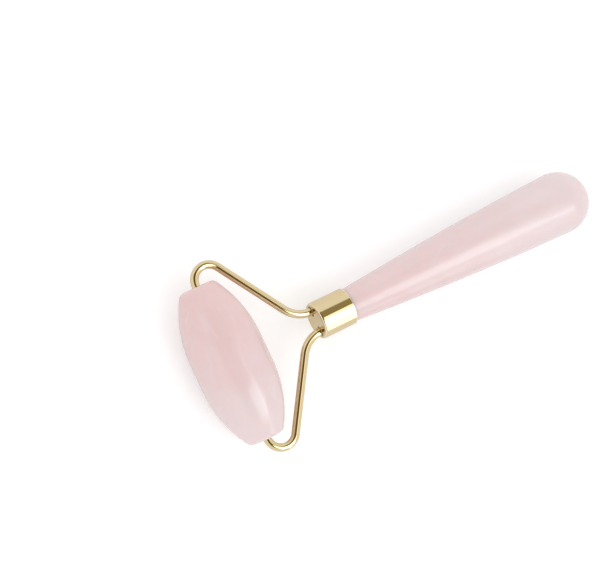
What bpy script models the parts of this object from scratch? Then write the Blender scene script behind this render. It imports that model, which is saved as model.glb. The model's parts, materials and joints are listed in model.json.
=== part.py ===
"""Face roller with a rose quartz barrel on a bent brass wire frame and a rose quartz handle.

Everything is built about the axle line, where the barrel turns. Local +X runs from the axle
line along the handle, local +Y runs along the axle, and the wire frame lies in the local XY
plane. The finished roller lies on the surface z = 0: the barrel's belly and the handle's
rounded end both touch it, and the box of the whole object is centred on the origin in X and Y.
"""

import math

import bmesh
import bpy
from mathutils import Matrix, Vector

MM = 0.001

# Barrel stone
STONE_LENGTH = 42.0 * MM
STONE_RADIUS = 9.8 * MM
STONE_END_RADIUS = 4.7 * MM
STONE_LAND = 6.0 * MM
STONE_FULLNESS = 2.2
STONE_RIM_ROUND = 2.0 * MM
BORE_RADIUS = 2.0 * MM

# Sleeves that line both ends of the bore
BUSH_LENGTH = 7.0 * MM
BUSH_INSET = 0.1 * MM
BUSH_FIT_GAP = 0.08 * MM
RUNNING_GAP = 0.06 * MM

# Bent wire frame
WIRE_RADIUS = 1.1 * MM
WIRE_END_DEPTH = 9.0 * MM
WIRE_TIP_CHAMFER = 0.3 * MM
HOOK_RADIUS = 4.0 * MM
ARM_ANGLE = math.radians(56.6)
ARM_BEND_RADIUS = 8.0 * MM
ARM_BEND_AHEAD = 4.1 * MM
LEG_OFFSET = 2.8 * MM
BRIDGE_DEPTH = 3.3 * MM
BRIDGE_BEND_RADIUS = 2.0 * MM

# Brass ferrule, a cup with its closed end towards the barrel
AXLE_TO_FERRULE = 25.0 * MM
FERRULE_LENGTH = 9.7 * MM
FERRULE_RADIUS = 5.0 * MM
FERRULE_BORE_RADIUS = 4.55 * MM
FERRULE_FRONT_WALL = 1.0 * MM
FERRULE_FRONT_ROUND = 0.7 * MM
FERRULE_REAR_ROUND = 0.15 * MM
LEG_HOLE_RADIUS = 1.4 * MM

# Handle stone
NECK_RADIUS = 4.45 * MM
TENON_LENGTH = 4.6 * MM
TENON_CHAMFER = 0.5 * MM
TAPER_LENGTH = 67.7 * MM
TAPER_END_RADIUS = 8.5 * MM
TAPER_SWELL = 0.45

# Adhesive cast around the wire's bridge
GLUE_RADIUS = 4.25 * MM
GLUE_GAP = 0.2 * MM

# Fineness of the round surfaces
STONE_SIDES = 40
STONE_STEPS = 12
HANDLE_SIDES = 36
HANDLE_STEPS = 13
FERRULE_SIDES = 40
BUSH_SIDES = 24
WIRE_SIDES = 12
BEND_STEP = math.radians(9.0)
ROUND_STEPS = 4
BALL_STEPS = 8

FERRULE_FRONT = AXLE_TO_FERRULE
FERRULE_REAR = AXLE_TO_FERRULE + FERRULE_LENGTH
TENON_FRONT = FERRULE_REAR - TENON_LENGTH
STONE_HALF = STONE_LENGTH / 2
STONE_CURVED = (STONE_LENGTH - STONE_LAND) / 2


def clear_scene():
    """Remove every object that is already in the scene."""
    for item in list(bpy.data.objects):
        bpy.data.objects.remove(item, do_unlink=True)


def make_material(name, color, roughness, metallic=0.0, transmission=0.0):
    """Return a Principled material."""
    material = bpy.data.materials.new(name)
    material.use_nodes = True
    shader = material.node_tree.nodes["Principled BSDF"]
    shader.inputs["Base Color"].default_value = (*color, 1.0)
    shader.inputs["Roughness"].default_value = roughness
    shader.inputs["Metallic"].default_value = metallic
    shader.inputs["Transmission Weight"].default_value = transmission
    return material


def make_object(name, mesh_builder, parent, material=None):
    """Turn a bmesh into a smooth-shaded object under its parent."""
    bmesh.ops.recalc_face_normals(mesh_builder, faces=mesh_builder.faces)
    mesh = bpy.data.meshes.new(name)
    mesh_builder.to_mesh(mesh)
    mesh_builder.free()
    mesh.shade_smooth()
    mesh.set_sharp_from_angle(angle=math.radians(35.0))
    item = bpy.data.objects.new(name, mesh)
    bpy.context.collection.objects.link(item)
    item.parent = parent
    if material:
        mesh.materials.append(material)
    return item


def make_empty(name, location, lean=0.0):
    """Return an empty that other pieces hang from, turned about Y by the lean."""
    empty = bpy.data.objects.new(name, None)
    bpy.context.collection.objects.link(empty)
    empty.location = location
    empty.rotation_euler = (0.0, lean, 0.0)
    return empty


def turn_profile(profile, sides, closed=False):
    """Turn (distance along X, radius) points about the X axis; a zero radius is a pole."""
    builder = bmesh.new()
    rings = []
    for along, radius in profile:
        if radius == 0.0:
            rings.append([builder.verts.new((along, 0.0, 0.0))])
            continue
        angles = [2 * math.pi * side / sides for side in range(sides)]
        ring = [(along, radius * math.cos(a), radius * math.sin(a)) for a in angles]
        rings.append([builder.verts.new(point) for point in ring])
    pairs = list(zip(rings, rings[1:]))
    if closed:
        pairs.append((rings[-1], rings[0]))
    for first, second in pairs:
        join_rings(builder, first, second, sides)
    return builder


def join_rings(builder, first, second, sides):
    """Fill the band between two rings, either of which may be a single pole."""
    if len(first) == 1 and len(second) == 1:
        return
    for side in range(sides):
        after = (side + 1) % sides
        corners = [first[side % len(first)], second[side % len(second)]]
        if len(second) > 1:
            corners.append(second[after])
        if len(first) > 1:
            corners.append(first[after])
        builder.faces.new(corners)


def arc_points(centre, radius, start, end, steps):
    """Return steps + 1 points of an arc in a plane, from one angle to another."""
    angles = [start + (end - start) * step / steps for step in range(steps + 1)]
    return [(centre[0] + radius * math.cos(a), centre[1] + radius * math.sin(a)) for a in angles]


def round_corner(before, corner, after, radius, steps):
    """Return (point, direction) pairs along the arc that rounds a corner in the XY plane."""
    inward = (corner - before).normalized()
    outward = (after - corner).normalized()
    turn = -inward.angle_signed(outward)
    cut = radius * math.tan(abs(turn) / 2)
    side = math.copysign(1.0, turn)
    start = corner - inward * cut
    centre = start + Vector((-inward.y, inward.x)) * radius * side
    pairs = []
    for step in range(steps + 1):
        rotation = Matrix.Rotation(turn * step / steps, 2)
        pairs.append((centre + rotation @ (start - centre), rotation @ inward))
    return pairs


def rounded_path(corners, radii):
    """Return (point, direction) pairs along a path whose inner corners are rounded."""
    path = [(corners[0], (corners[1] - corners[0]).normalized())]
    for index, radius in enumerate(radii):
        before, corner, after = corners[index:index + 3]
        turn = (corner - before).angle(after - corner)
        steps = math.ceil(turn / BEND_STEP)
        path += round_corner(before, corner, after, radius, steps)
    path.append((corners[-1], (corners[-1] - corners[-2]).normalized()))
    return path


def sweep_tube(path, radius, sides, chamfer=0.0):
    """Sweep a circle along a path in the XY plane and close both ends."""
    builder = bmesh.new()
    stations = [(point, direction, radius) for point, direction in path]
    if chamfer:
        stations = chamfer_ends(stations, chamfer)
    rings = []
    for point, direction, ring_radius in stations:
        across = Vector((-direction.y, direction.x, 0.0))
        ring = []
        for side in range(sides):
            angle = 2 * math.pi * side / sides
            offset = across * math.cos(angle) + Vector((0.0, 0.0, math.sin(angle)))
            ring.append(builder.verts.new(point.to_3d() + offset * ring_radius))
        rings.append(ring)
    for first, second in zip(rings, rings[1:]):
        join_rings(builder, first, second, sides)
    builder.faces.new(rings[0])
    builder.faces.new(rings[-1])
    return builder


def chamfer_ends(stations, chamfer):
    """Narrow the first and last station by the chamfer and add a full one behind each."""
    first_point, first_direction, radius = stations[0]
    last_point, last_direction, _ = stations[-1]
    first = (first_point, first_direction, radius - chamfer)
    second = (first_point + first_direction * chamfer, first_direction, radius)
    second_last = (last_point - last_direction * chamfer, last_direction, radius)
    last = (last_point, last_direction, radius - chamfer)
    return [first, second] + stations[1:-1] + [second_last, last]


def barrel_radius(past_land):
    """Return the barrel's radius at a distance past its straight land, before rim rounding."""
    share = past_land / STONE_CURVED
    return STONE_RADIUS - (STONE_RADIUS - STONE_END_RADIUS) * share ** STONE_FULLNESS


def barrel_end_round():
    """Return the rounded rim at the barrel's +X end, from its side to its flat face."""
    drop = (STONE_RADIUS - STONE_END_RADIUS) * STONE_FULLNESS / STONE_CURVED
    slope = math.atan(drop)
    cut = STONE_RIM_ROUND * math.tan((math.pi / 2 - slope) / 2)
    centre = (STONE_HALF - STONE_RIM_ROUND, STONE_END_RADIUS - cut)
    return arc_points(centre, STONE_RIM_ROUND, math.pi / 2 - slope, 0.0, ROUND_STEPS)


def barrel_half_profile():
    """Return the barrel's outer profile from the land's +X edge to the edge of its flat face."""
    land = STONE_LAND / 2
    rim = barrel_end_round()
    reach = rim[0][0] - land
    spots = [reach * step / STONE_STEPS for step in range(STONE_STEPS)]
    return [(land + spot, barrel_radius(spot)) for spot in spots] + rim


def make_roller_stone(pivot, material):
    """Barrel stone with a straight bore and a short straight land round its middle."""
    half = barrel_half_profile()
    mirrored = [(-along, radius) for along, radius in reversed(half)]
    bore = [(STONE_HALF, BORE_RADIUS), (-STONE_HALF, BORE_RADIUS)]
    builder = turn_profile(mirrored + half + bore, STONE_SIDES, closed=True)
    stone = make_object("roller_stone", builder, pivot, material)
    stone.data.transform(Matrix.Rotation(math.pi / 2, 4, "Z"))
    return stone


def make_bush(name, side, pivot, material):
    """Plain sleeve in one end of the barrel's bore; side is +1 or -1 along Y."""
    outer = BORE_RADIUS - BUSH_FIT_GAP
    inner = WIRE_RADIUS + RUNNING_GAP
    face = STONE_HALF - BUSH_INSET
    back = face - BUSH_LENGTH
    profile = [(back, inner), (back, outer), (face, outer), (face, inner)]
    builder = turn_profile(profile, BUSH_SIDES, closed=True)
    bush = make_object(name, builder, pivot, material)
    bush.data.transform(Matrix.Rotation(side * math.pi / 2, 4, "Z"))
    return bush


def wire_corners():
    """Return the corners of the wire's centre line, from one end in the barrel to the other."""
    bend = AXLE_TO_FERRULE - ARM_BEND_AHEAD
    hook = LEG_OFFSET + bend * math.tan(ARM_ANGLE)
    bridge = FERRULE_FRONT + BRIDGE_DEPTH
    end = STONE_HALF - WIRE_END_DEPTH
    half = [(0.0, end), (0.0, hook), (bend, LEG_OFFSET), (bridge, LEG_OFFSET)]
    mirrored = [(along, -across) for along, across in reversed(half)]
    return [Vector(corner) for corner in half + mirrored]


def make_wire_frame(lean, material):
    """One wire: an end in the barrel, a hook, an arm, a bridge in the ferrule, and back."""
    half_radii = [HOOK_RADIUS, ARM_BEND_RADIUS, BRIDGE_BEND_RADIUS]
    path = rounded_path(wire_corners(), half_radii + half_radii[::-1])
    builder = sweep_tube(path, WIRE_RADIUS, WIRE_SIDES, WIRE_TIP_CHAMFER)
    return make_object("wire_frame", builder, lean, material)


def add_cut(target, cutter):
    """Cut a shape out of a piece and keep the cutter out of the finished object."""
    cutter.hide_render = True
    cutter.display_type = "WIRE"
    cut = target.modifiers.new(cutter.name, "BOOLEAN")
    cut.operation = "DIFFERENCE"
    cut.solver = "EXACT"
    cut.object = cutter


def make_leg_hole_cutter(name, across, lean):
    """Rod that drills one leg hole through the ferrule's front wall."""
    front = FERRULE_FRONT - FERRULE_FRONT_WALL
    rear = FERRULE_FRONT + 2 * FERRULE_FRONT_WALL
    profile = [(front, 0.0), (front, LEG_HOLE_RADIUS), (rear, LEG_HOLE_RADIUS), (rear, 0.0)]
    cutter = make_object(name, turn_profile(profile, BUSH_SIDES), lean)
    cutter.data.transform(Matrix.Translation((0.0, across, 0.0)))
    return cutter


def make_ferrule(lean, material):
    """Brass cup with a rounded front edge and two leg holes in its flat front."""
    edge = FERRULE_FRONT_ROUND
    front_centre = (FERRULE_FRONT + edge, FERRULE_RADIUS - edge)
    front_edge = arc_points(front_centre, edge, math.pi, math.pi / 2, ROUND_STEPS)
    lip = FERRULE_REAR_ROUND
    rear_centre = (FERRULE_REAR - lip, FERRULE_RADIUS - lip)
    rear_edge = arc_points(rear_centre, lip, math.pi / 2, 0.0, ROUND_STEPS // 2)
    floor = FERRULE_FRONT + FERRULE_FRONT_WALL
    bore = [(FERRULE_REAR, FERRULE_BORE_RADIUS), (floor, FERRULE_BORE_RADIUS), (floor, 0.0)]
    profile = [(FERRULE_FRONT, 0.0)] + front_edge + rear_edge + bore
    ferrule = make_object("ferrule", turn_profile(profile, FERRULE_SIDES), lean, material)
    add_cut(ferrule, make_leg_hole_cutter("leg_hole_cutter_left", LEG_OFFSET, lean))
    add_cut(ferrule, make_leg_hole_cutter("leg_hole_cutter_right", -LEG_OFFSET, lean))
    return ferrule


def make_glue_block(lean, material):
    """Adhesive cast in the ferrule between its front wall and the tenon, around the bridge."""
    front = FERRULE_FRONT + FERRULE_FRONT_WALL + GLUE_GAP
    rear = TENON_FRONT - GLUE_GAP
    profile = [(front, 0.0), (front, GLUE_RADIUS), (rear, GLUE_RADIUS), (rear, 0.0)]
    block = make_object("glue_block", turn_profile(profile, FERRULE_SIDES), lean, material)
    bridge = FERRULE_FRONT + BRIDGE_DEPTH
    half = [Vector((FERRULE_FRONT, LEG_OFFSET)), Vector((bridge, LEG_OFFSET))]
    corners = half + [Vector((corner.x, -corner.y)) for corner in reversed(half)]
    path = rounded_path(corners, [BRIDGE_BEND_RADIUS] * 2)
    channel = sweep_tube(path, WIRE_RADIUS + GLUE_GAP, WIRE_SIDES)
    add_cut(block, make_object("bridge_channel_cutter", channel, lean))
    return block


def taper_radius(along):
    """Return the handle's radius at a distance behind the ferrule's rear rim."""
    share = along / TAPER_LENGTH
    return NECK_RADIUS + (TAPER_END_RADIUS - NECK_RADIUS) * (
        share + TAPER_SWELL * share * (1.0 - share))


def handle_ball():
    """Return the distance behind the rear rim and the radius of the ball that ends the handle."""
    slope = (TAPER_END_RADIUS - NECK_RADIUS) * (1.0 - TAPER_SWELL) / TAPER_LENGTH
    centre = TAPER_LENGTH + TAPER_END_RADIUS * slope
    return centre, TAPER_END_RADIUS * math.hypot(1.0, slope), math.atan(slope)


def make_handle_stone(lean, material):
    """Tapered handle stone with a chamfered tenon at its neck and a ball-shaped end."""
    tenon_radius = taper_radius(-TENON_LENGTH)
    chamfer_end = TENON_CHAMFER - TENON_LENGTH
    profile = [(-TENON_LENGTH, 0.0), (-TENON_LENGTH, tenon_radius - TENON_CHAMFER)]
    profile += [(chamfer_end, taper_radius(chamfer_end))]
    spots = [TAPER_LENGTH * step / HANDLE_STEPS for step in range(HANDLE_STEPS)]
    profile += [(along, taper_radius(along)) for along in spots]
    centre, ball_radius, slope = handle_ball()
    ball = arc_points((centre, 0.0), ball_radius, math.pi / 2 + slope, 0.0, BALL_STEPS)
    profile += ball[:-1] + [(centre + ball_radius, 0.0)]
    builder = turn_profile(profile, HANDLE_SIDES)
    handle = make_object("handle_stone", builder, lean, material)
    handle.data.transform(Matrix.Translation((FERRULE_REAR, 0.0, 0.0)))
    return handle


def lying_pose():
    """Return the axle's X position and the handle's lean when the roller lies on z = 0."""
    ball_centre, ball_radius, _ = handle_ball()
    span = FERRULE_REAR + ball_centre
    drop = STONE_RADIUS - ball_radius
    overall = STONE_RADIUS + math.sqrt(span ** 2 - drop ** 2) + ball_radius
    return STONE_RADIUS - overall / 2, math.asin(drop / span)


def main():
    """Build the whole face roller."""
    clear_scene()
    quartz = (0.78, 0.50, 0.50)
    axle_x, lean_angle = lying_pose()
    pivot = make_empty("roller_pivot", (axle_x, 0.0, STONE_RADIUS))
    lean = make_empty("frame_lean", (axle_x, 0.0, STONE_RADIUS), lean=lean_angle)

    make_roller_stone(pivot, make_material("barrel_quartz", quartz, 0.12, transmission=0.2))
    nylon = make_material("sleeve_nylon", (0.85, 0.83, 0.80), 0.45)
    make_bush("bush_left", 1.0, pivot, nylon)
    make_bush("bush_right", -1.0, pivot, nylon)
    make_wire_frame(lean, make_material("wire_brass", (0.80, 0.62, 0.33), 0.14, 1.0))
    make_ferrule(lean, make_material("ferrule_brass", (0.82, 0.68, 0.42), 0.12, 1.0))
    make_glue_block(lean, make_material("clear_adhesive", (0.85, 0.80, 0.68), 0.40))
    make_handle_stone(lean, make_material("handle_quartz", quartz, 0.12, transmission=0.2))


main()
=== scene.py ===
"""Looks of the face roller: rose quartz barrel and handle, polished brass wire and ferrule.

Each turned piece is modelled about its own X axis and then placed on the CAD frame: the barrel
on the axle of the joint, everything else on the line of the handle.
"""

import json
import math

import bmesh
import bpy
from mathutils import Matrix, Vector, noise


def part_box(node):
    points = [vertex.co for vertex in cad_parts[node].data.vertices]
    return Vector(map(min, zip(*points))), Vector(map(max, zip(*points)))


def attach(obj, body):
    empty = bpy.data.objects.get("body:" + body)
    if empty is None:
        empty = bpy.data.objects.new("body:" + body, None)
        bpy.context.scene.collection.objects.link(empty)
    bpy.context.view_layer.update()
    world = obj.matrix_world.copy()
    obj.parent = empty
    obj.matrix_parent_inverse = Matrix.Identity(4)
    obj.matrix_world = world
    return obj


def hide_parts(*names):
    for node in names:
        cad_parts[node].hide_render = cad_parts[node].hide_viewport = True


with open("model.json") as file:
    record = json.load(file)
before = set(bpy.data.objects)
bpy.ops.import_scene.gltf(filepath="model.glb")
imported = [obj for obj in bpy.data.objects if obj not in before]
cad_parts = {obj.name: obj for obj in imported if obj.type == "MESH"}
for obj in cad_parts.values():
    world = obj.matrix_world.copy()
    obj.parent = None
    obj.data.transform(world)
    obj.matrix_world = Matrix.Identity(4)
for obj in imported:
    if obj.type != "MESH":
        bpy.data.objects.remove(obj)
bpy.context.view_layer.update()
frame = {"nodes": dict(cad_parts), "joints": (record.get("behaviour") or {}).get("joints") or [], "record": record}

MM = 0.001


# ---------------------------------------------------------------- sizes from the frame

def mount(name):
    """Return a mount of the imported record."""
    return next(item for item in frame["record"]["mounts"] if item["name"] == name)


def placed(origin, along):
    """Return a frame at a point with its X axis along a direction and its Y axis level."""
    x_axis = along.normalized()
    z_axis = x_axis.cross(Vector((0.0, 1.0, 0.0))).normalized()
    y_axis = z_axis.cross(x_axis)
    return Matrix.Translation(origin) @ Matrix((x_axis, y_axis, z_axis)).transposed().to_4x4()


AXLE = Vector(frame["joints"][0]["pos_m"])
HANDLE_DIRECTION = -Vector(mount("ferrule_front")["axis"])
FERRULE_FRONT = (Vector(mount("ferrule_front")["pos_m"]) - AXLE).length

ON_HANDLE = placed(AXLE, HANDLE_DIRECTION)
ON_AXLE = Matrix.Translation(AXLE) @ Matrix.Rotation(math.pi / 2, 4, "Z")
ON_AXLE_BACK = Matrix.Translation(AXLE) @ Matrix.Rotation(-math.pi / 2, 4, "Z")

STONE_LOW, STONE_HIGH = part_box("roller_stone")
STONE_HALF = (STONE_HIGH.y - STONE_LOW.y) / 2
STONE_RADIUS = (STONE_HIGH.z - STONE_LOW.z) / 2
BUSH_LOW, BUSH_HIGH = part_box("bush_left")
BUSH_RADIUS = (BUSH_HIGH.z - BUSH_LOW.z) / 2
FERRULE_LOW, FERRULE_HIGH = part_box("ferrule")
FERRULE_RADIUS = (FERRULE_HIGH.y - FERRULE_LOW.y) / 2

# Barrel stone
STONE_END_RADIUS = 4.7 * MM
STONE_LAND = 6.0 * MM
STONE_FULLNESS = 2.2
STONE_RIM_ROUND = 2.0 * MM
BORE_RADIUS = 2.0 * MM
BORE_CHAMFER = 0.25 * MM
STONE_SIDES = 192
STONE_STEPS = 60
STONE_RIM_STEPS = 14
STONE_WEAR = 0.04 * MM
STONE_WEAR_SIZE = 9.0 * MM

# Sleeves
BUSH_BORE_RADIUS = 1.16 * MM
BUSH_CHAMFER = 0.15 * MM
BUSH_SIDES = 64

# Wire frame
WIRE_RADIUS = 1.1 * MM
WIRE_END_DEPTH = 9.0 * MM
WIRE_TIP_CHAMFER = 0.3 * MM
HOOK_RADIUS = 4.0 * MM
ARM_ANGLE = math.radians(56.6)
ARM_BEND_RADIUS = 8.0 * MM
ARM_BEND_AHEAD = 4.1 * MM
LEG_OFFSET = 2.8 * MM
BRIDGE_DEPTH = 3.3 * MM
BRIDGE_BEND_RADIUS = 2.0 * MM
WIRE_SIDES = 40
WIRE_BEND_STEPS = 24
WIRE_LONGEST_STEP = 0.6 * MM

# Ferrule
FERRULE_LENGTH = 9.7 * MM
FERRULE_BORE_RADIUS = 4.55 * MM
FERRULE_FRONT_WALL = 1.0 * MM
FERRULE_FRONT_ROUND = 0.7 * MM
FERRULE_REAR_ROUND = 0.15 * MM
FERRULE_REAR = FERRULE_FRONT + FERRULE_LENGTH
LEG_HOLE_RADIUS = 1.4 * MM
LEG_HOLE_CHAMFER = 0.08 * MM
LEG_HOLE_SIDES = 64
FERRULE_SIDES = 144
FERRULE_FRONT_STEPS = 12
FERRULE_REAR_STEPS = 5

# Handle stone
NECK_RADIUS = 4.45 * MM
TENON_LENGTH = 4.6 * MM
TENON_CHAMFER = 0.5 * MM
TAPER_LENGTH = 67.7 * MM
TAPER_END_RADIUS = 8.5 * MM
TAPER_SWELL = 0.45
HANDLE_SIDES = 160
TAPER_STEPS = 110
HANDLE_END_STEPS = 48
HANDLE_WEAR = 0.03 * MM
HANDLE_WEAR_SIZE = 14.0 * MM

# Distance from an edge at which a turned surface gets a ring to keep its shading true, and
# the angle from which an edge is shaded sharp
EDGE_SUPPORT = 0.06 * MM
SHARP_ANGLE = math.radians(35.0)
ADHESIVE_SHARP_ANGLE = math.radians(60.0)

# Bead of adhesive in the seam between the ferrule and the handle
BEAD_DEPTH = 0.8 * MM
BEAD_REACH = 0.22 * MM
BEAD_GAP = 0.01 * MM
BEAD_LIFT = 0.02 * MM
BEAD_ROUND = 0.2 * BEAD_REACH

# Rings of adhesive round the legs, in the holes: depths behind the ferrule's front face
COLLAR_LIP = 0.05 * MM
COLLAR_DIP = 0.20 * MM
COLLAR_DROP = 0.07 * MM
COLLAR_BACK = 0.90 * MM
COLLAR_SIDES = 72

# Camera
CAMERA_TARGET = Vector((-0.0263, 0.0099, 0.0098))
CAMERA_DISTANCE = 0.461
CAMERA_AZIMUTH = math.radians(264.8)
CAMERA_ELEVATION = math.radians(70.8)
CAMERA_ROLL = math.radians(69.9)
CAMERA_LENS = 108.9
CAMERA_SENSOR = 36.0
CAMERA_CLIP_START = 10.0 * MM

# Floor and light. Radiances are in units of the white that the picture can show, and the glow
# is what the camera sees on top of the floor's own brightness. In reflections the tent is open
# overhead: the opening's edges, and the places where its shade starts and stops turning from
# dark to light, are slopes, sideways over upwards, as seen from the roller. The key softbox has
# a radiance and a tint for reflections, and a plain fill radiance for the surfaces that it lights.
FLOOR_HALF = 2.0
FLOOR_GAP = 0.02 * MM
FLOOR_LOW = (0.88, 0.88, 0.88)
FLOOR_HIGH = (0.92, 0.92, 0.92)
FLOOR_GLOW = 0.20
TENT_COLOR = (1.0, 1.0, 1.0)
OPENING_DARK = (0.15, 0.105, 0.05)
OPENING_LIGHT = (0.34, 0.29, 0.16)
OPENING_SHADE_X = (-0.05, 0.32)
OPENING_X = (-0.75, 0.62)
OPENING_Y = (-0.90, 0.87)
OPENING_EDGE = 0.13
OPENING_LEAST_UP = 0.05
SOFTBOX_DISTANCE = 1.6
STRIP_DIRECTION = (0.415, -0.623, 0.663)
STRIP_LONG_AXIS = (0.0, 0.729, 0.685)
STRIP_SIZE = (0.39, 2.89)
STRIP_RADIANCE = 1.05
KEY_DIRECTION = (0.200, -0.520, 0.830)
KEY_LONG_AXIS = (-0.28, 0.82, 0.49)
KEY_SIZE = (0.92, 0.97)
KEY_RADIANCE = 2.7
KEY_FILL = 1.14
KEY_TINT = (0.76, 1.0, 1.0)

# Colours
STONE_PINK = (0.762, 0.568, 0.560)
STONE_PALE = (0.782, 0.660, 0.666)
STONE_CLOUD = (0.795, 0.680, 0.680)
STONE_CRACK = (0.840, 0.760, 0.750)
GOLD_WARM = (0.725, 0.585, 0.338)
GOLD_PALE = (0.750, 0.615, 0.375)
GOLD_WORN = (0.795, 0.685, 0.475)
# Near-white gold of the painted highlight along the ferrule's rims
GOLD_EDGE_HIGHLIGHT = (0.920, 0.850, 0.690)
# Adhesive amber, darkened into painted shade so that the leg holes read dark
GLUE_SHADE_DARK = (0.34, 0.19, 0.06)
GLUE_SHADE_LIGHT = (0.46, 0.30, 0.13)
GLUE_BUBBLE = (0.70, 0.58, 0.40)
NYLON_DARK = (0.80, 0.76, 0.72)
NYLON_LIGHT = (0.86, 0.84, 0.81)


# ---------------------------------------------------------------- mesh tools

def turned(profile, sides, closed=False):
    """Turn (distance along X, radius) points about the X axis; a zero radius is a pole."""
    builder = bmesh.new()
    angles = [2 * math.pi * side / sides for side in range(sides)]
    rings = []
    for along, radius in profile:
        if radius == 0.0:
            rings.append([builder.verts.new((along, 0.0, 0.0))])
            continue
        ring = [(along, radius * math.cos(a), radius * math.sin(a)) for a in angles]
        rings.append([builder.verts.new(point) for point in ring])
    pairs = list(zip(rings, rings[1:]))
    if closed:
        pairs.append((rings[-1], rings[0]))
    for first, second in pairs:
        join_rings(builder, first, second, sides)
    return builder


def join_rings(builder, first, second, sides):
    """Fill the band between two rings, either of which may be a single pole."""
    if len(first) == 1 and len(second) == 1:
        return
    for side in range(sides):
        after = (side + 1) % sides
        corners = [first[side % len(first)], second[side % len(second)]]
        if len(second) > 1:
            corners.append(second[after])
        if len(first) > 1:
            corners.append(first[after])
        builder.faces.new(corners)


def swept(path, radius, sides, chamfer):
    """Sweep a circle along a path in the XY plane, with chamfered ends.

    The vector layer "drawn" holds each point's place on the wire as it was before bending.
    """
    builder = bmesh.new()
    drawn = builder.verts.layers.float_vector.new("drawn")
    first, last = path[0], path[-1]
    stations = [(first[0], first[1], radius - chamfer)]
    stations.append((first[0] + first[1] * chamfer, first[1], radius))
    stations += [(point, direction, radius) for point, direction in path[1:-1]]
    stations.append((last[0] - last[1] * chamfer, last[1], radius))
    stations.append((last[0], last[1], radius - chamfer))
    rings = []
    run = 0.0
    previous = path[0][0]
    for point, direction, ring_radius in stations:
        run += (point - previous).length
        previous = point
        across = Vector((-direction.y, direction.x, 0.0))
        ring = []
        for side in range(sides):
            angle = 2 * math.pi * side / sides
            offset = across * math.cos(angle) + Vector((0.0, 0.0, math.sin(angle)))
            vertex = builder.verts.new(point.to_3d() + offset * ring_radius)
            vertex[drawn] = (run, ring_radius * math.cos(angle), ring_radius * math.sin(angle))
            ring.append(vertex)
        rings.append(ring)
    for before, after in zip(rings, rings[1:]):
        join_rings(builder, before, after, sides)
    builder.faces.new(rings[0])
    builder.faces.new(rings[-1])
    return builder


def finished(name, builder, matrix, sharp_angle=SHARP_ANGLE):
    """Turn a bmesh into an object placed by a matrix, shaded smooth but for its sharp edges."""
    bmesh.ops.recalc_face_normals(builder, faces=builder.faces)
    mesh = bpy.data.meshes.new(name)
    builder.to_mesh(mesh)
    builder.free()
    mesh.shade_smooth()
    mesh.set_sharp_from_angle(angle=sharp_angle)
    item = bpy.data.objects.new(name, mesh)
    bpy.context.scene.collection.objects.link(item)
    item.matrix_world = matrix
    return item


def cut_out(target, cutters):
    """Cut shapes out of a piece, keep the result as its mesh and delete the shapes."""
    for cutter in cutters:
        cut = target.modifiers.new(cutter.name, "BOOLEAN")
        cut.operation = "DIFFERENCE"
        cut.solver = "EXACT"
        cut.object = cutter
    bpy.context.view_layer.update()
    graph = bpy.context.evaluated_depsgraph_get()
    mesh = bpy.data.meshes.new_from_object(target.evaluated_get(graph))
    target.modifiers.clear()
    target.data = mesh
    for cutter in cutters:
        bpy.data.objects.remove(cutter)
    mesh.shade_smooth()
    mesh.set_sharp_from_angle(angle=SHARP_ANGLE)


def arc_points(centre, radius, start, end, steps):
    """Return steps + 1 points of an arc in a plane, from one angle to another."""
    angles = [start + (end - start) * step / steps for step in range(steps + 1)]
    return [(centre[0] + radius * math.cos(a), centre[1] + radius * math.sin(a)) for a in angles]


def supported(profile, inset):
    """Add points near both ends and in the middle of each long run, to keep its shading true."""
    result = [profile[0]]
    for before, after in zip(profile, profile[1:]):
        length = math.dist(before, after)
        if length > 4 * inset:
            for share in (inset / length, 0.5, 1.0 - inset / length):
                result.append(tuple(a + (b - a) * share for a, b in zip(before, after)))
        result.append(after)
    return result


def hand_polished(item, depth, size, seed):
    """Wear a stone's surface in by a slow, uneven depth, as hand polishing leaves it."""
    for vertex in item.data.vertices:
        spot = vertex.co / size + Vector((seed, seed, seed))
        inward = Vector((0.0, -vertex.co.y, -vertex.co.z))
        if inward.length > BORE_RADIUS + BORE_CHAMFER:
            vertex.co += inward.normalized() * depth * (0.5 + 0.5 * noise.noise(spot))


def put(item, body, node):
    """Let a piece ride on a body in place of its CAD node."""
    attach(item, body)
    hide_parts(node)


# ---------------------------------------------------------------- pieces

def barrel_radius(along):
    """Return the barrel's radius at a distance from its middle, before its rims are rounded."""
    share = max(0.0, along - STONE_LAND / 2) / (STONE_HALF - STONE_LAND / 2)
    return STONE_RADIUS - (STONE_RADIUS - STONE_END_RADIUS) * share ** STONE_FULLNESS


def make_barrel(material):
    """Barrel stone with a straight land round its middle, rounded rims and a chamfered bore."""
    drop = (STONE_RADIUS - STONE_END_RADIUS) * STONE_FULLNESS / (STONE_HALF - STONE_LAND / 2)
    slope = math.atan(drop)
    cut = STONE_RIM_ROUND * math.tan((math.pi / 2 - slope) / 2)
    centre = (STONE_HALF - STONE_RIM_ROUND, STONE_END_RADIUS - cut)
    rim = arc_points(centre, STONE_RIM_ROUND, math.pi / 2 - slope, 0.0, STONE_RIM_STEPS)
    spots = [rim[0][0] * step / STONE_STEPS for step in range(STONE_STEPS)]
    half = [(along, barrel_radius(along)) for along in spots]
    half += rim + [(STONE_HALF, BORE_RADIUS + BORE_CHAMFER)]
    half += [(STONE_HALF - BORE_CHAMFER, BORE_RADIUS)]
    mirrored = [(-along, radius) for along, radius in reversed(half[1:])]
    builder = turned(mirrored + half, STONE_SIDES, closed=True)
    barrel = finished("barrel_stone", builder, ON_AXLE)
    hand_polished(barrel, STONE_WEAR, STONE_WEAR_SIZE, seed=3.0)
    barrel.data.materials.append(material)
    put(barrel, "roller", "roller_stone")


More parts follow.
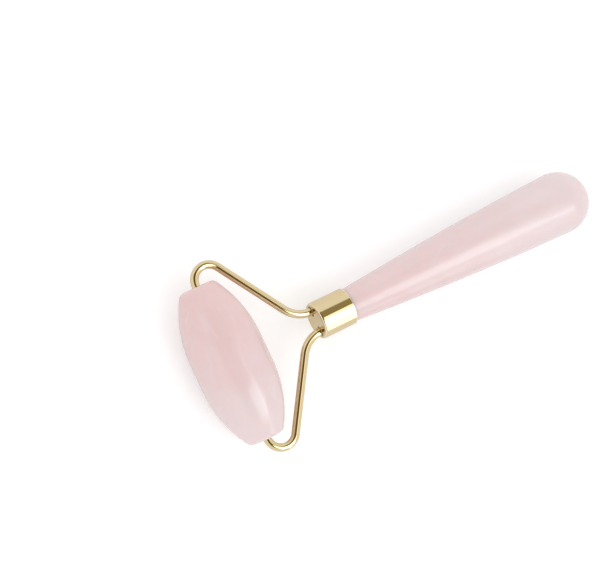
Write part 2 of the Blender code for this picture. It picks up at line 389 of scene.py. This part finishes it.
def make_sleeve(name, node, matrix, material):
    """Nylon sleeve with a chamfered mouth, just inside the barrel's end face."""
    face = BUSH_HIGH.y - AXLE.y
    back = BUSH_LOW.y - AXLE.y
    chamfer = BUSH_CHAMFER
    profile = [(back, BUSH_BORE_RADIUS), (back, BUSH_RADIUS), (face - chamfer, BUSH_RADIUS)]
    profile += [(face, BUSH_RADIUS - chamfer), (face, BUSH_BORE_RADIUS + chamfer)]
    profile += [(face - chamfer, BUSH_BORE_RADIUS)]
    sleeve = finished(name, turned(profile, BUSH_SIDES, closed=True), matrix)
    sleeve.data.materials.append(material)
    put(sleeve, "roller", node)


def round_corner(before, corner, after, radius, steps):
    """Return (point, direction) pairs along the arc that rounds a corner in the XY plane."""
    inward = (corner - before).normalized()
    outward = (after - corner).normalized()
    turn = -inward.angle_signed(outward)
    cut = radius * math.tan(abs(turn) / 2)
    side = math.copysign(1.0, turn)
    start = corner - inward * cut
    centre = start + Vector((-inward.y, inward.x)) * radius * side
    pairs = []
    for step in range(steps + 1):
        rotation = Matrix.Rotation(turn * step / steps, 2)
        pairs.append((centre + rotation @ (start - centre), rotation @ inward))
    return pairs


def wire_path():
    """Return the wire's centre line, from one end in the barrel to the other."""
    bend = FERRULE_FRONT - ARM_BEND_AHEAD
    hook = LEG_OFFSET + bend * math.tan(ARM_ANGLE)
    bridge = FERRULE_FRONT + BRIDGE_DEPTH
    end = STONE_HALF - WIRE_END_DEPTH
    half = [(0.0, end), (0.0, hook), (bend, LEG_OFFSET), (bridge, LEG_OFFSET)]
    mirrored = [(along, -across) for along, across in reversed(half)]
    corners = [Vector(corner) for corner in half + mirrored]
    radii = [HOOK_RADIUS, ARM_BEND_RADIUS, BRIDGE_BEND_RADIUS]
    radii += radii[::-1]
    path = [(corners[0], (corners[1] - corners[0]).normalized())]
    for index, radius in enumerate(radii):
        path += round_corner(*corners[index:index + 3], radius, WIRE_BEND_STEPS)
    path.append((corners[-1], (corners[-1] - corners[-2]).normalized()))
    return subdivided(path, WIRE_LONGEST_STEP)


def subdivided(path, longest):
    """Divide the straight runs of a path so that none is longer than a given length."""
    result = [path[0]]
    for before, after in zip(path, path[1:]):
        steps = math.ceil((after[0] - before[0]).length / longest)
        for step in range(1, steps + 1):
            share = step / steps
            direction = before[1].lerp(after[1], share).normalized()
            result.append((before[0].lerp(after[0], share), direction))
    return result


def make_wire(material):
    """One bent wire: both ends in the barrel, both arms, and the bridge in the ferrule."""
    builder = swept(wire_path(), WIRE_RADIUS, WIRE_SIDES, WIRE_TIP_CHAMFER)
    wire = finished("bent_wire", builder, ON_HANDLE)
    wire.data.materials.append(material)
    put(wire, "handle", "wire_frame")


def make_leg_hole_cutter(side):
    """Rod with a flared front that drills and chamfers one leg hole; side is +1 or -1."""
    flare = 0.5 * MM
    wide = LEG_HOLE_RADIUS + LEG_HOLE_CHAMFER + flare
    depth = 2 * FERRULE_FRONT_WALL
    profile = [(-flare, 0.0), (-flare, wide), (LEG_HOLE_CHAMFER, LEG_HOLE_RADIUS)]
    profile += [(depth, LEG_HOLE_RADIUS), (depth, 0.0)]
    place = Matrix.Translation((FERRULE_FRONT, side * LEG_OFFSET, 0.0))
    return finished("leg_hole_cutter", turned(profile, LEG_HOLE_SIDES), ON_HANDLE @ place)


def make_ferrule(material):
    """Brass cup with a rounded front edge, a fine rear lip and two chamfered leg holes."""
    edge = FERRULE_FRONT_ROUND
    front_centre = (FERRULE_FRONT + edge, FERRULE_RADIUS - edge)
    outline = [(FERRULE_FRONT, 0.0)]
    outline += arc_points(front_centre, edge, math.pi, math.pi / 2, FERRULE_FRONT_STEPS)
    lip = FERRULE_REAR_ROUND
    rear_centre = (FERRULE_REAR - lip, FERRULE_RADIUS - lip)
    outline += arc_points(rear_centre, lip, math.pi / 2, 0.0, FERRULE_REAR_STEPS)
    floor = FERRULE_FRONT + FERRULE_FRONT_WALL
    outline += [(FERRULE_REAR, FERRULE_BORE_RADIUS), (floor, FERRULE_BORE_RADIUS), (floor, 0.0)]
    builder = turned(supported(outline, EDGE_SUPPORT), FERRULE_SIDES)
    ferrule = finished("brass_ferrule", builder, ON_HANDLE)
    cut_out(ferrule, [make_leg_hole_cutter(1.0), make_leg_hole_cutter(-1.0)])
    ferrule.data.materials.append(material)
    put(ferrule, "handle", "ferrule")


def taper_radius(along):
    """Return the handle's radius at a distance behind the ferrule's rear rim."""
    share = along / TAPER_LENGTH
    return NECK_RADIUS + (TAPER_END_RADIUS - NECK_RADIUS) * (
        share + TAPER_SWELL * share * (1.0 - share))


def make_handle(material):
    """Tapered handle stone with a chamfered tenon and a ball-shaped end."""
    chamfer_end = TENON_CHAMFER - TENON_LENGTH
    outline = [(-TENON_LENGTH, 0.0)]
    outline += [(-TENON_LENGTH, taper_radius(-TENON_LENGTH) - TENON_CHAMFER)]
    run = TAPER_LENGTH - chamfer_end
    spots = [chamfer_end + run * step / TAPER_STEPS for step in range(TAPER_STEPS)]
    outline += [(along, taper_radius(along)) for along in spots]
    slope = (TAPER_END_RADIUS - NECK_RADIUS) * (1.0 - TAPER_SWELL) / TAPER_LENGTH
    centre = TAPER_LENGTH + TAPER_END_RADIUS * slope
    ball_radius = TAPER_END_RADIUS * math.hypot(1.0, slope)
    start = math.pi / 2 + math.atan(slope)
    ball = arc_points((centre, 0.0), ball_radius, start, 0.0, HANDLE_END_STEPS)
    outline += ball[:-1] + [(centre + ball_radius, 0.0)]
    place = ON_HANDLE @ Matrix.Translation((FERRULE_REAR, 0.0, 0.0))
    handle = finished("quartz_handle", turned(outline, HANDLE_SIDES), place)
    hand_polished(handle, HANDLE_WEAR, HANDLE_WEAR_SIZE, seed=7.0)
    handle.data.materials.append(material)
    put(handle, "handle", "handle_stone")


def make_glue_bead(material):
    """Thin bead of set adhesive that closes the seam behind the ferrule."""
    inner_start = taper_radius(-BEAD_DEPTH) + BEAD_GAP
    inner_end = taper_radius(BEAD_REACH) + BEAD_GAP
    outer = FERRULE_BORE_RADIUS - BEAD_GAP
    crest = FERRULE_BORE_RADIUS + BEAD_REACH / 2
    profile = [(-BEAD_DEPTH, inner_start), (-BEAD_DEPTH, outer), (BEAD_LIFT, outer)]
    profile += [(BEAD_LIFT, crest), (2 * BEAD_ROUND, crest - BEAD_ROUND)]
    profile += [(BEAD_REACH - BEAD_ROUND, inner_end + BEAD_ROUND), (BEAD_REACH, inner_end)]
    place = ON_HANDLE @ Matrix.Translation((FERRULE_REAR, 0.0, 0.0))
    builder = turned(profile, FERRULE_SIDES, closed=True)
    bead = finished("glue_bead", builder, place, ADHESIVE_SHARP_ANGLE)
    bead.data.materials.append(material)
    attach(bead, "handle")


def make_glue_collar(name, side, material):
    """Ring of set adhesive that closes the gap round a leg in its hole, its dark amber painted shade; side is +1
    or -1.
    """
    inner = WIRE_RADIUS + BEAD_GAP
    outer = LEG_HOLE_RADIUS - BEAD_GAP
    middle = (inner + outer) / 2
    profile = [(COLLAR_BACK, inner), (COLLAR_LIP, inner), (COLLAR_DIP, middle)]
    profile += [(COLLAR_LIP + COLLAR_DROP, outer), (COLLAR_BACK, outer)]
    place = ON_HANDLE @ Matrix.Translation((FERRULE_FRONT, side * LEG_OFFSET, 0.0))
    builder = turned(profile, COLLAR_SIDES, closed=True)
    collar = finished(name, builder, place, ADHESIVE_SHARP_ANGLE)
    collar.data.materials.append(material)
    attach(collar, "handle")


# ---------------------------------------------------------------- materials

class Tree:
    """Short calls for building a node tree."""

    def __init__(self, tree):
        self.nodes = tree.nodes
        self.links = tree.links

    def add(self, kind, **settings):
        """Add a node and set its properties."""
        node = self.nodes.new(kind)
        for key, value in settings.items():
            setattr(node, key, value)
        return node

    def link(self, source, target):
        """Join an output to an input."""
        self.links.new(source, target)

    def feed(self, value, socket):
        """Give a socket an output or a plain number or colour."""
        if isinstance(value, bpy.types.NodeSocket):
            self.link(value, socket)
        elif isinstance(value, tuple):
            socket.default_value = (*value, 1.0)
        else:
            socket.default_value = value

    def math(self, operation, first, second=0.0):
        """Return the result of a calculation with one or two numbers."""
        node = self.add("ShaderNodeMath", operation=operation)
        self.feed(first, node.inputs[0])
        self.feed(second, node.inputs[1])
        return node.outputs[0]

    def mix(self, factor, first, second):
        """Return a colour mixed from two; each is an output or a plain colour."""
        node = self.add("ShaderNodeMix", data_type="RGBA")
        self.feed(factor, node.inputs[0])
        self.feed(first, node.inputs[6])
        self.feed(second, node.inputs[7])
        return node.outputs[2]

    def remap(self, value, low, high, to_low, to_high):
        """Return a value mapped smoothly from one range to another."""
        node = self.add("ShaderNodeMapRange", interpolation_type="SMOOTHSTEP")
        for key, number in zip(("From Min", "From Max", "To Min", "To Max"),
                               (low, high, to_low, to_high)):
            node.inputs[key].default_value = number
        self.link(value, node.inputs["Value"])
        return node.outputs["Result"]


class Nodes(Tree):
    """Short calls for building one material's node tree."""

    def __init__(self, name):
        self.material = bpy.data.materials.new(name)
        self.material.use_nodes = True
        super().__init__(self.material.node_tree)
        self.shader = self.nodes["Principled BSDF"]
        self.spot = self.add("ShaderNodeTexCoord").outputs["Object"]

    def set(self, **values):
        """Set the Principled shader's own sockets; underscores stand for spaces."""
        for key, value in values.items():
            self.shader.inputs[key.replace("_", " ")].default_value = value

    def stretched(self, scale):
        """Return the object coordinates multiplied by a scale for each axis."""
        mapping = self.add("ShaderNodeMapping")
        mapping.inputs["Scale"].default_value = scale
        self.link(self.spot, mapping.inputs["Vector"])
        return mapping.outputs["Vector"]

    def split_spot(self):
        """Return a node whose outputs are the object coordinates X, Y and Z."""
        split = self.add("ShaderNodeSeparateXYZ")
        self.link(self.spot, split.inputs[0])
        return split

    def length(self, first, second):
        """Return the length of a flat vector with two given components."""
        squares = [self.math("POWER", component, 2.0) for component in (first, second)]
        return self.math("SQRT", self.math("ADD", *squares))

    def turned_spot(self):
        """Return the distance along the X axis and the distance from it."""
        split = self.split_spot()
        return split.outputs["X"], self.length(split.outputs["Y"], split.outputs["Z"])

    def near_edge(self, along, radius, core, reach):
        """Return 1 within a core distance of a turned edge and 0 beyond a reach."""
        spot_along, off_axis = self.turned_spot()
        off_along = self.math("SUBTRACT", spot_along, along)
        off_radius = self.math("SUBTRACT", off_axis, radius)
        return self.remap(self.length(off_along, off_radius), core, reach, 1.0, 0.0)

    def noise(self, scale, detail, distortion, shift, vector=None):
        """Return a noise value; scale is in features per metre, or per unit of a vector."""
        node = self.add("ShaderNodeTexNoise", noise_dimensions="4D")
        node.inputs["Scale"].default_value = scale
        node.inputs["Detail"].default_value = detail
        node.inputs["Distortion"].default_value = distortion
        node.inputs["W"].default_value = shift
        self.link(vector or self.spot, node.inputs["Vector"])
        return node.outputs["Fac"]

    def ramp(self, value, *stops):
        """Return a colour ramp's output; the two stops are (position, colour) pairs."""
        node = self.add("ShaderNodeValToRGB")
        for element, (position, color) in zip(node.color_ramp.elements, stops):
            element.position = position
            element.color = (*color, 1.0)
        self.link(value, node.inputs["Fac"])
        return node.outputs["Color"]

    def cells(self, scale, feature, vector=None):
        """Return a Voronoi distance; scale is in cells per metre."""
        node = self.add("ShaderNodeTexVoronoi", feature=feature)
        node.inputs["Scale"].default_value = scale
        self.link(vector or self.spot, node.inputs["Vector"])
        return node.outputs["Distance"]

    def bent(self, amount, scale, shift):
        """Return the object coordinates pushed about by a slow noise, by an amount in metres."""
        warp = self.add("ShaderNodeTexNoise", noise_dimensions="4D")
        warp.inputs["Scale"].default_value = scale
        warp.inputs["W"].default_value = shift
        self.link(self.spot, warp.inputs["Vector"])
        push = self.add("ShaderNodeVectorMath", operation="MULTIPLY_ADD")
        push.inputs[1].default_value = (amount, amount, amount)
        self.link(warp.outputs["Color"], push.inputs[0])
        self.link(self.spot, push.inputs[2])
        return push.outputs["Vector"]

    def scratches(self, vector, seed):
        """Return fine scratches, 1 in a scratch and 0 beside it, that come and go in patches."""
        lines = self.noise(1.0, 2.0, 0.0, seed, vector)
        patches = self.noise(130.0, 1.0, 0.0, seed + 5.0)
        return self.math("MULTIPLY", self.remap(lines, 0.66, 0.74, 0.0, 1.0),
                         self.remap(patches, 0.45, 0.65, 0.0, 1.0))

    def bumped(self, height, depth):
        """Give the shader a bump from a height between 0 and 1, of a depth in metres."""
        node = self.add("ShaderNodeBump")
        node.inputs["Distance"].default_value = depth
        self.link(height, node.inputs["Height"])
        self.link(node.outputs["Normal"], self.shader.inputs["Normal"])

    def finish(self, color, roughness):
        """Link the colour and the roughness and return the material."""
        self.link(color, self.shader.inputs["Base Color"])
        self.link(roughness, self.shader.inputs["Roughness"])
        return self.material


def rose_quartz(name, pink_end, pale_end, seed):
    """Milky rose quartz, hand-polished: its pink fades along X from one end to the other.

    It has soft clouds, silky wisps, healed cracks, small motes and fine scratches.
    """
    nodes = Nodes(name)
    fade = nodes.remap(nodes.split_spot().outputs["X"], pink_end, pale_end, 0.0, 1.0)
    clouds = nodes.remap(nodes.noise(75.0, 4.0, 0.8, seed), 0.30, 0.70, -0.18, 0.18)
    color = nodes.mix(nodes.math("ADD", fade, clouds), STONE_PINK, STONE_PALE)
    wisps = nodes.noise(1.0, 5.0, 1.2, seed + 1.0, nodes.stretched((90.0, 420.0, 260.0)))
    color = nodes.mix(nodes.remap(wisps, 0.50, 0.75, 0.0, 0.35), color, STONE_CLOUD)
    cracks = nodes.cells(85.0, "DISTANCE_TO_EDGE", nodes.bent(0.006, 160.0, seed + 2.0))
    shown = nodes.remap(nodes.noise(110.0, 1.0, 0.0, seed + 3.0), 0.50, 0.66, 0.0, 0.16)
    healed = nodes.math("MULTIPLY", nodes.remap(cracks, 0.0, 0.035, 1.0, 0.0), shown)
    color = nodes.mix(healed, color, STONE_CRACK)
    motes = nodes.remap(nodes.noise(1900.0, 1.0, 0.0, seed + 4.0), 0.70, 0.78, 0.0, 0.2)
    color = nodes.mix(motes, color, STONE_CRACK)

    grazes = nodes.scratches(nodes.stretched((260.0, 5200.0, 5200.0)), seed + 6.0)
    swirls = nodes.noise(340.0, 3.0, 0.6, seed + 7.0)
    rough = nodes.math("ADD", nodes.remap(swirls, 0.3, 0.7, 0.16, 0.22),
                       nodes.math("MULTIPLY", grazes, 0.12))
    grain = nodes.noise(2600.0, 2.0, 0.0, seed + 8.0)
    height = nodes.math("ADD", nodes.math("MULTIPLY", swirls, 0.75),
                        nodes.math("MULTIPLY", grain, 0.12))
    height = nodes.math("SUBTRACT", height, nodes.math("MULTIPLY", grazes, 0.10))
    nodes.bumped(height, 0.014 * MM)
    nodes.set(IOR=1.54, Specular_IOR_Level=0.42, Subsurface_Weight=0.65,
              Subsurface_Radius=(1.0, 0.55, 0.5), Subsurface_Scale=0.004)
    return nodes.finish(color, rough)


def pale_brass(name, coordinates, seed, edges=()):
    """Polished pale gold plating on brass, with a painted highlight along its turned edges.

    The coordinates run fast across its tool marks. An edge is its place along the X axis, its
    radius, and the distances from it at which the painted highlight starts to fade and is gone.
    """
    nodes = Nodes(name)
    marks = nodes.noise(1.0, 3.0, 0.0, seed, coordinates(nodes))
    tone = nodes.noise(210.0, 3.0, 0.4, seed + 1.0)
    color = nodes.ramp(tone, (0.30, GOLD_WARM), (0.70, GOLD_PALE))
    hair = nodes.scratches(nodes.stretched((900.0, 5200.0, 3800.0)), seed + 2.0)
    color = nodes.mix(nodes.math("MULTIPLY", hair, 0.25), color, GOLD_WORN)
    # Painted highlight: near-white gold along each turned edge, fading away from it in patches
    for edge in edges:
        patches = nodes.remap(tone, 0.3, 0.6, 0.5, 1.0)
        edge_highlight = nodes.math("MULTIPLY", nodes.near_edge(*edge), patches)
        color = nodes.mix(edge_highlight, color, GOLD_EDGE_HIGHLIGHT)
    film = nodes.noise(520.0, 4.0, 0.5, seed + 3.0)
    rough = nodes.math("ADD", nodes.remap(film, 0.35, 0.70, 0.03, 0.075),
                       nodes.math("MULTIPLY", hair, 0.12))
    height = nodes.math("ADD", nodes.math("MULTIPLY", marks, 0.5),
                        nodes.math("MULTIPLY", film, 0.3))
    nodes.bumped(nodes.math("SUBTRACT", height, nodes.math("MULTIPLY", hair, 0.2)), 0.0015 * MM)
    nodes.set(Metallic=1.0)
    return nodes.finish(color, rough)


def drawing_marks(nodes):
    """Coordinates of the wire before bending, so that its die marks run along it."""
    source = nodes.add("ShaderNodeAttribute", attribute_name="drawn")
    mapping = nodes.add("ShaderNodeMapping")
    mapping.inputs["Scale"].default_value = (70.0, 3600.0, 3600.0)
    nodes.link(source.outputs["Vector"], mapping.inputs["Vector"])
    return mapping.outputs["Vector"]


def turning_marks(nodes):
    """Distance along and from the axis, so that a lathe's marks run round the piece."""
    along, off_axis = nodes.turned_spot()
    joined = nodes.add("ShaderNodeCombineXYZ")
    nodes.link(nodes.math("MULTIPLY", along, 9000.0), joined.inputs["X"])
    nodes.link(nodes.math("MULTIPLY", off_axis, 9000.0), joined.inputs["Y"])
    return joined.outputs["Vector"]


def sleeve_nylon():
    """Off-white moulded nylon, slightly see-through, with a fine matt skin."""
    nodes = Nodes("sleeve_nylon")
    tone = nodes.noise(600.0, 3.0, 0.3, 1.0)
    skin = nodes.noise(5200.0, 2.0, 0.0, 2.0)
    nodes.bumped(skin, 0.01 * MM)
    nodes.set(IOR=1.53, Subsurface_Weight=0.4, Subsurface_Radius=(1.0, 0.9, 0.8),
              Subsurface_Scale=0.0015)
    color = nodes.ramp(tone, (0.3, NYLON_DARK), (0.7, NYLON_LIGHT))
    return nodes.finish(color, nodes.remap(skin, 0.3, 0.7, 0.36, 0.52))


def clear_adhesive():
    """Set epoxy: amber darkened into painted shade for the leg holes, with tiny bubbles and a wavy skin."""
    nodes = Nodes("clear_adhesive")
    tone = nodes.noise(700.0, 3.0, 0.5, 3.0)
    bubbles = nodes.remap(nodes.cells(3800.0, "F1"), 0.10, 0.24, 1.0, 0.0)
    waves = nodes.noise(1400.0, 2.0, 0.3, 4.0)
    nodes.bumped(nodes.math("SUBTRACT", waves, nodes.math("MULTIPLY", bubbles, 0.5)), 0.02 * MM)
    nodes.set(IOR=1.55, Subsurface_Weight=0.3, Subsurface_Radius=(1.0, 0.8, 0.5),
              Subsurface_Scale=0.001)
    color = nodes.ramp(tone, (0.3, GLUE_SHADE_DARK), (0.7, GLUE_SHADE_LIGHT))
    color = nodes.mix(nodes.math("MULTIPLY", bubbles, 0.3), color, GLUE_BUBBLE)
    return nodes.finish(color, nodes.remap(waves, 0.3, 0.7, 0.18, 0.32))


# ---------------------------------------------------------------- floor, light and camera

def make_floor():
    """Plain pale floor that the roller lies on, just under its lowest point."""
    builder = bmesh.new()
    bmesh.ops.create_grid(builder, x_segments=8, y_segments=8, size=FLOOR_HALF)
    place = Matrix.Translation((0.0, 0.0, -FLOOR_GAP))
    floor = finished("floor", builder, place)
    nodes = Nodes("pale_floor")
    tone = nodes.noise(6.0, 2.0, 0.0, 1.0)
    color = nodes.ramp(tone, (0.3, FLOOR_LOW), (0.7, FLOOR_HIGH))
    grain = nodes.noise(900.0, 2.0, 0.0, 2.0)
    nodes.bumped(grain, 0.01 * MM)
    nodes.set(Specular_IOR_Level=0.15)
    seen = nodes.add("ShaderNodeLightPath").outputs["Is Camera Ray"]
    glow = nodes.math("MULTIPLY", seen, FLOOR_GLOW)
    nodes.link(glow, nodes.shader.inputs["Emission Strength"])
    floor.data.materials.append(nodes.finish(color, nodes.remap(grain, 0.3, 0.7, 0.75, 0.85)))


def make_softbox(name, direction, long_axis, size, radiance, tint, glossy):
    """Rectangular softbox that faces the roller from a direction, with a radiance and a tint.

    A glossy one is seen only in reflections, the other kind only lights the surfaces.
    """
    light = bpy.data.lights.new(name, "AREA")
    light.shape = "RECTANGLE"
    light.size, light.size_y = size
    light.energy = 4.0 * radiance * light.size * light.size_y
    light.color = tint
    softbox = bpy.data.objects.new(name, light)
    bpy.context.scene.collection.objects.link(softbox)
    back = Vector(direction).normalized()
    across = Vector(long_axis).cross(back).normalized()
    turn = Matrix((across, back.cross(across), back)).transposed().to_4x4()
    place = Matrix.Translation(CAMERA_TARGET + back * SOFTBOX_DISTANCE)
    softbox.matrix_world = place @ turn
    softbox.visible_camera = False
    softbox.visible_glossy = glossy
    softbox.visible_diffuse = not glossy


def between(tree, value, edges):
    """Return 1 between two edges and 0 outside them, with a soft change."""
    middle = sum(edges) / 2
    half = (edges[1] - edges[0]) / 2
    off = tree.math("ABSOLUTE", tree.math("SUBTRACT", value, middle))
    return tree.remap(off, half + OPENING_EDGE, half - OPENING_EDGE, 0.0, 1.0)


def make_tent():
    """Pale light tent all round; reflections see it open and dim overhead."""
    world = bpy.data.worlds.new("light_tent")
    world.use_nodes = True
    bpy.context.scene.world = world
    tree = Tree(world.node_tree)
    split = tree.add("ShaderNodeSeparateXYZ")
    tree.link(tree.add("ShaderNodeTexCoord").outputs["Generated"], split.inputs[0])
    up = tree.math("MAXIMUM", split.outputs["Z"], OPENING_LEAST_UP)
    slope_x = tree.math("DIVIDE", split.outputs["X"], up)
    slope_y = tree.math("DIVIDE", split.outputs["Y"], up)
    opening = tree.math("MULTIPLY", between(tree, slope_x, OPENING_X),
                        between(tree, slope_y, OPENING_Y))
    path = tree.add("ShaderNodeLightPath")
    opening = tree.math("MULTIPLY", opening, path.outputs["Is Glossy Ray"])
    lit = tree.remap(slope_x, *OPENING_SHADE_X, 0.0, 1.0)
    shade = tree.mix(lit, OPENING_DARK, OPENING_LIGHT)
    tent = tree.nodes["Background"]
    tree.link(tree.mix(opening, TENT_COLOR, shade), tent.inputs["Color"])
    plain = tree.add("ShaderNodeBackground")
    tree.feed(TENT_COLOR, plain.inputs["Color"])
    chosen = tree.add("ShaderNodeMixShader")
    tree.link(path.outputs["Is Camera Ray"], chosen.inputs[0])
    tree.link(tent.outputs[0], chosen.inputs[1])
    tree.link(plain.outputs[0], chosen.inputs[2])
    tree.link(chosen.outputs[0], tree.nodes["World Output"].inputs["Surface"])


def make_camera():
    """Camera above the roller's axle end, rolled so that the handle points up to the right."""
    away = Vector((math.sin(CAMERA_AZIMUTH) * math.cos(CAMERA_ELEVATION),
                   -math.cos(CAMERA_AZIMUTH) * math.cos(CAMERA_ELEVATION),
                   math.sin(CAMERA_ELEVATION)))
    level = Vector((0.0, 0.0, 1.0)).cross(away).normalized()
    right = level * math.cos(CAMERA_ROLL) + away.cross(level) * math.sin(CAMERA_ROLL)
    turn = Matrix((right, away.cross(right), away)).transposed().to_4x4()
    camera = bpy.data.objects.new("camera", bpy.data.cameras.new("camera"))
    bpy.context.scene.collection.objects.link(camera)
    camera.matrix_world = Matrix.Translation(CAMERA_TARGET + away * CAMERA_DISTANCE) @ turn
    camera.data.lens = CAMERA_LENS
    camera.data.sensor_width = CAMERA_SENSOR
    camera.data.clip_start = CAMERA_CLIP_START
    bpy.context.scene.camera = camera


# ---------------------------------------------------------------- the whole scene

nylon = sleeve_nylon()
adhesive = clear_adhesive()
make_barrel(rose_quartz("barrel_quartz", pink_end=STONE_HALF, pale_end=-1.4 * STONE_HALF,
                        seed=2.0))
make_sleeve("nylon_sleeve_left", "bush_left", ON_AXLE, nylon)
make_sleeve("nylon_sleeve_right", "bush_right", ON_AXLE_BACK, nylon)
make_wire(pale_brass("wire_brass", drawing_marks, seed=11.0))
# The ferrule's front and rear rims carry a painted highlight
make_ferrule(pale_brass("ferrule_brass", turning_marks, seed=23.0, edges=[
    (FERRULE_FRONT, FERRULE_RADIUS, 0.27 * MM, 0.38 * MM),
    (FERRULE_REAR, FERRULE_RADIUS, 0.12 * MM, 0.30 * MM)]))
make_handle(rose_quartz("handle_quartz", pink_end=-TAPER_LENGTH, pale_end=1.5 * TAPER_LENGTH,
                        seed=9.0))
make_glue_bead(adhesive)
make_glue_collar("glue_collar_left", 1.0, adhesive)
make_glue_collar("glue_collar_right", -1.0, adhesive)
frame["nodes"]["glue_block"].data.materials.clear()
frame["nodes"]["glue_block"].data.materials.append(adhesive)

make_floor()
make_tent()
key = (KEY_DIRECTION, KEY_LONG_AXIS, KEY_SIZE)
make_softbox("key_softbox", *key, KEY_RADIANCE, KEY_TINT, glossy=True)
make_softbox("key_fill", *key, KEY_FILL, TENT_COLOR, glossy=False)
make_softbox("strip_softbox", STRIP_DIRECTION, STRIP_LONG_AXIS, STRIP_SIZE, STRIP_RADIANCE,
             TENT_COLOR, glossy=True)
make_camera()
bpy.context.scene.view_settings.view_transform = "Standard"
